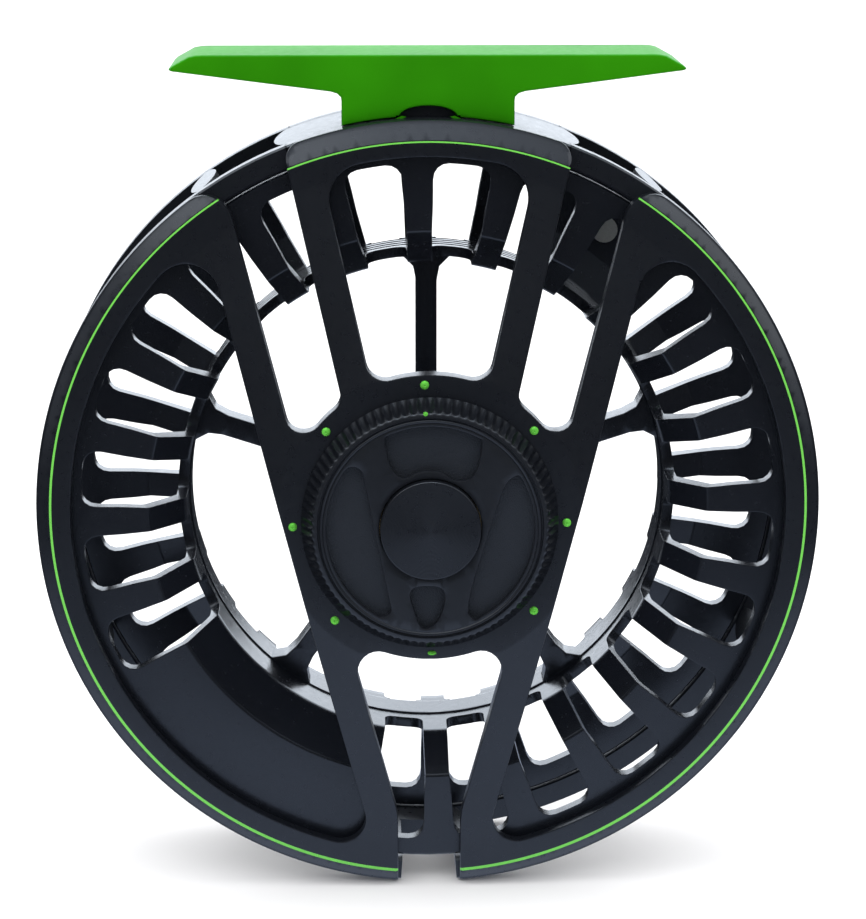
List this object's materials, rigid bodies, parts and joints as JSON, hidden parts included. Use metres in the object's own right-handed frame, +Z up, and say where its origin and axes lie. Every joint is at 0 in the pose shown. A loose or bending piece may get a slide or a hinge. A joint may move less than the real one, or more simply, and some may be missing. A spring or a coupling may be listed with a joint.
{
  "type": "fly reel",
  "caption": "Large-arbor fly reel: a caged frame with a reel foot, a ported spool with a crank handle, and a dished drag knob.",
  "frame": {"origin": "middle of the foot's flat top face, which the rod's reel seat holds", "axes": "+Z up, out of the foot towards the rod; +Y along the axle towards the handle side; +X along the rod's length"},
  "size_m": [0.0988, 0.0532, 0.1065],
  "materials": {
    "anodised_black": "machined, bead blasted and anodised satin black",
    "anodised_green": "satin green anodising",
    "grip_black": "satin black anodising",
    "steel": "turned",
    "brass": "turned",
    "carbon": "woven carbon fibre",
    "rubber": "smooth"
  },
  "bodies": {
    "body": {"frame": "anodised_black", "reel_foot": "anodised_green", "foot_screw_1": "steel", "foot_screw_2": "steel", "spindle": "steel", "spindle_clip": "steel", "drag_canister": "anodised_black", "canister_seal": "rubber", "carbon_disc_1": "carbon", "carbon_disc_2": "carbon", "carbon_disc_3": "carbon", "click_ball": "steel", "click_spring": "steel"},
    "thrust": {"pressure_plate": "steel", "spring_washer_1": "steel", "spring_washer_2": "steel", "thrust_pin_1": "steel", "thrust_pin_2": "steel", "thrust_pin_3": "steel"},
    "knob": {"drag_knob": "anodised_black", "knob_cap": "anodised_black", "knob_nut": "brass", "thrust_washer": "brass"},
    "hub": {"drive_hub": "steel", "steel_disc_1": "steel", "steel_disc_2": "steel", "bearing_rear": "steel", "one_way_clutch": "steel", "bearing_front": "steel"},
    "spool": {"spool": "anodised_black", "handle_post": "steel", "handle_screw": "steel", "handle_end_screw": "steel"},
    "cap": {"spool_cap": "anodised_black"},
    "handle": {"handle_grip": "grip_black"}
  },
  "joints": [
    {"name": "drag_travel", "type": "slide", "parent": "body", "child": "thrust", "axis": [0, -1, 0], "range_m": [0, 0.0007]},
    {"name": "drag_adjust", "type": "hinge", "parent": "thrust", "child": "knob", "pos_m": [0, -0.0175, -0.0571], "axis": [0, -1, 0], "range_deg": [0, 315]},
    {"name": "drive_spin", "type": "hinge", "parent": "body", "child": "hub", "pos_m": [0, -0.0015, -0.0571], "axis": [0, 1, 0], "continuous": true},
    {"name": "spool_release", "type": "slide", "parent": "hub", "child": "spool", "axis": [0, 1, 0], "range_m": [0, 0.03]},
    {"name": "cap_turn", "type": "hinge", "parent": "spool", "child": "cap", "pos_m": [0, 0.0105, -0.0571], "axis": [0, 1, 0], "range_deg": [0, 720]},
    {"name": "handle_turn", "type": "hinge", "parent": "spool", "child": "handle", "pos_m": [0.02352, 0.0235, -0.02437], "axis": [0, 1, 0], "continuous": true}
  ],
  "couplings": [
    {"joint": "drag_adjust", "follows": "drag_travel", "rad_per_m": 7853.9}
  ]
}
